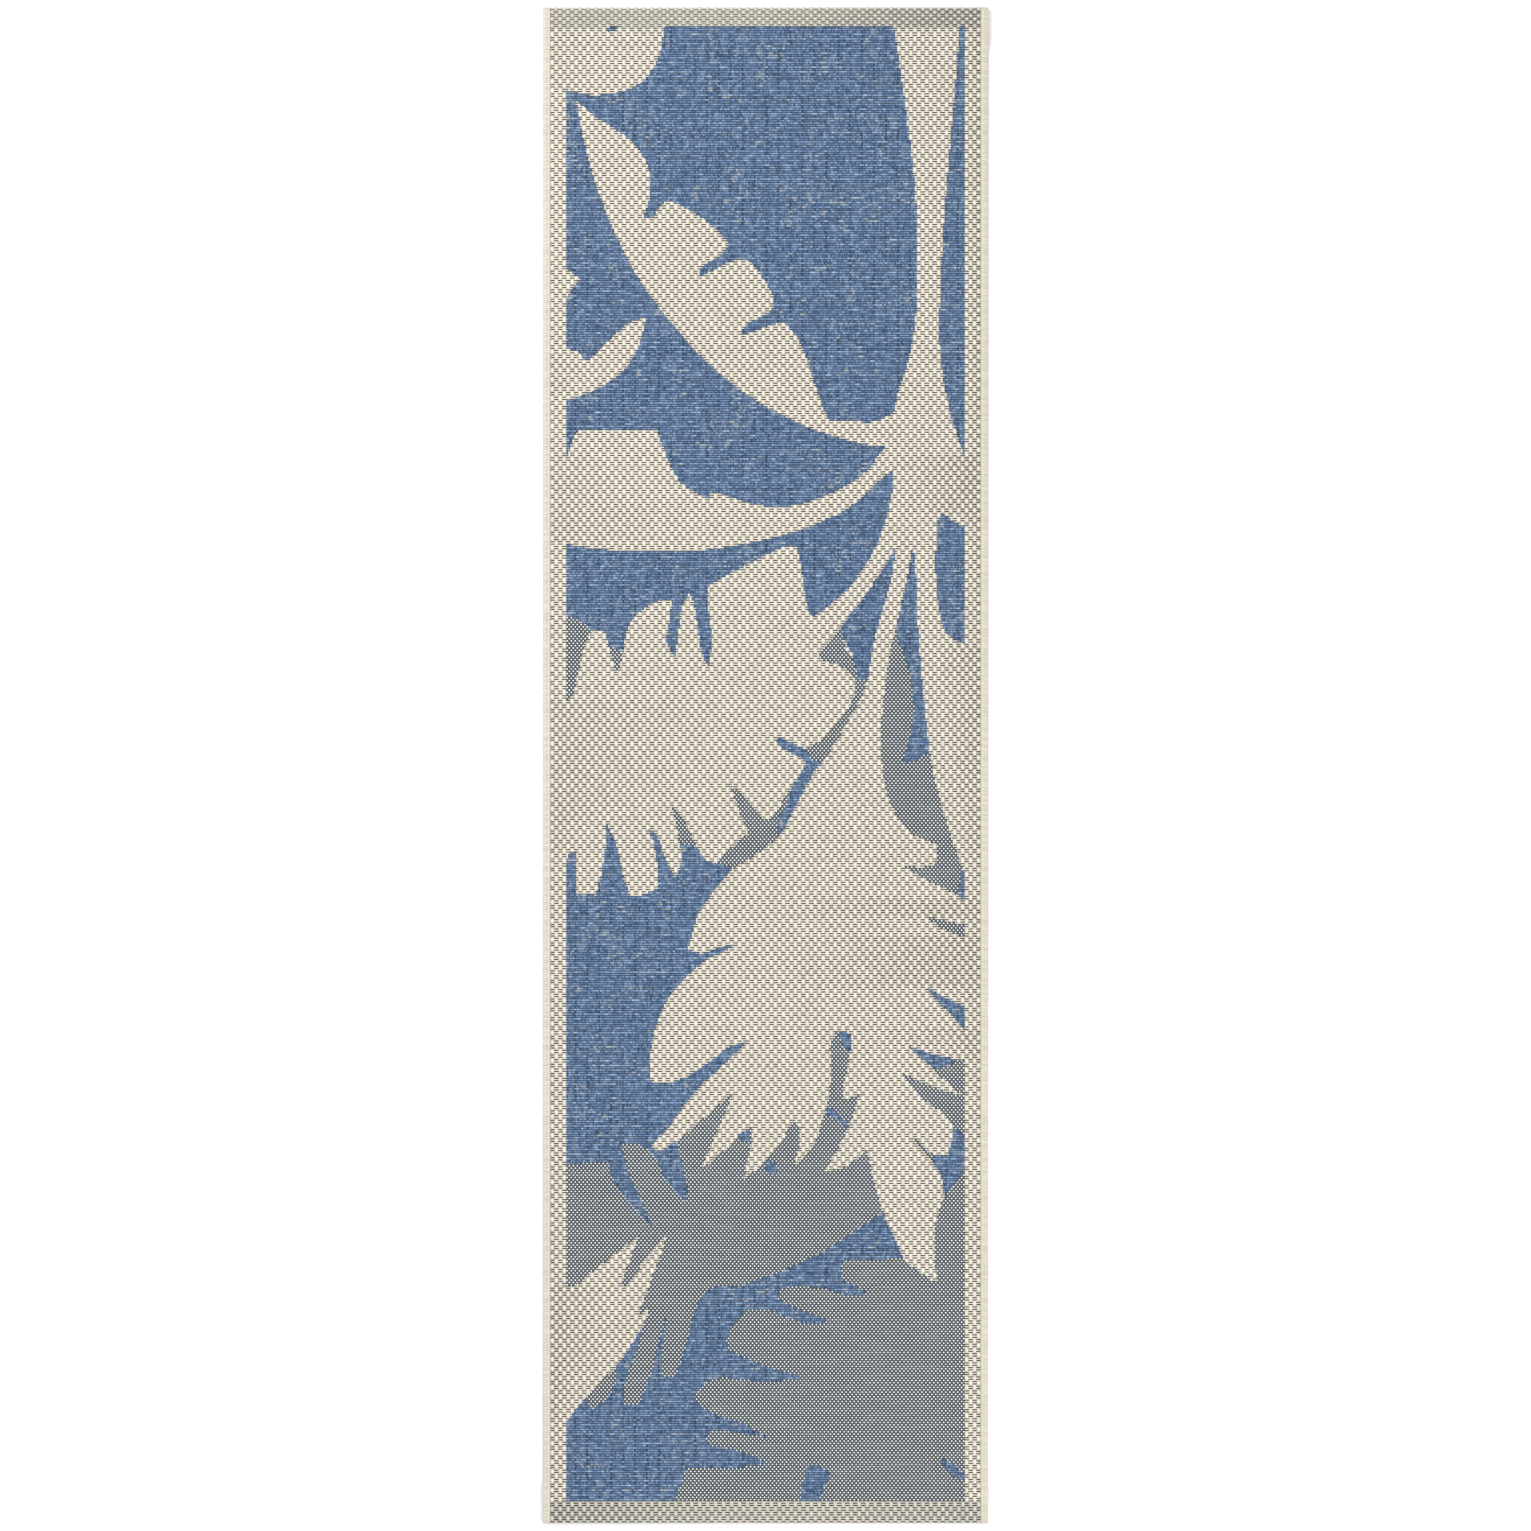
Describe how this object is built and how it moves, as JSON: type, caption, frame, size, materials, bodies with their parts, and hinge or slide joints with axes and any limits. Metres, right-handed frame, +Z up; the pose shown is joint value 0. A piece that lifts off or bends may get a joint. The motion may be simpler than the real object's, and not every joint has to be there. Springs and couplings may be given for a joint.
{
  "type": "runner rug",
  "caption": "Long flat-woven runner rug with serged long sides and hemmed ends, in a leaf pattern, lying flat.",
  "frame": {"origin": "middle of the underside, on the floor that the rug lies on", "axes": "+Y along the rug towards its head end, +X across it to the right, +Z up, out of the face"},
  "size_m": [0.686, 2.336, 0.0079],
  "materials": {
    "woven_cloth": "flat-woven polypropylene, ribbed, matte",
    "serging_yarn": "overcast polypropylene yarn, soft sheen",
    "overlock_yarn": "overlocked polypropylene yarn, matte",
    "hem_thread": "twisted polyester thread",
    "label_satin": "blank woven satin tape"
  },
  "bodies": {
    "root": {"woven_panel": "woven_cloth", "left_serging": "serging_yarn", "right_serging": "serging_yarn", "head_overlock": "overlock_yarn", "foot_overlock": "overlock_yarn", "head_hem_stitching": "hem_thread", "foot_hem_stitching": "hem_thread", "care_label": "label_satin"}
  },
  "joints": []
}
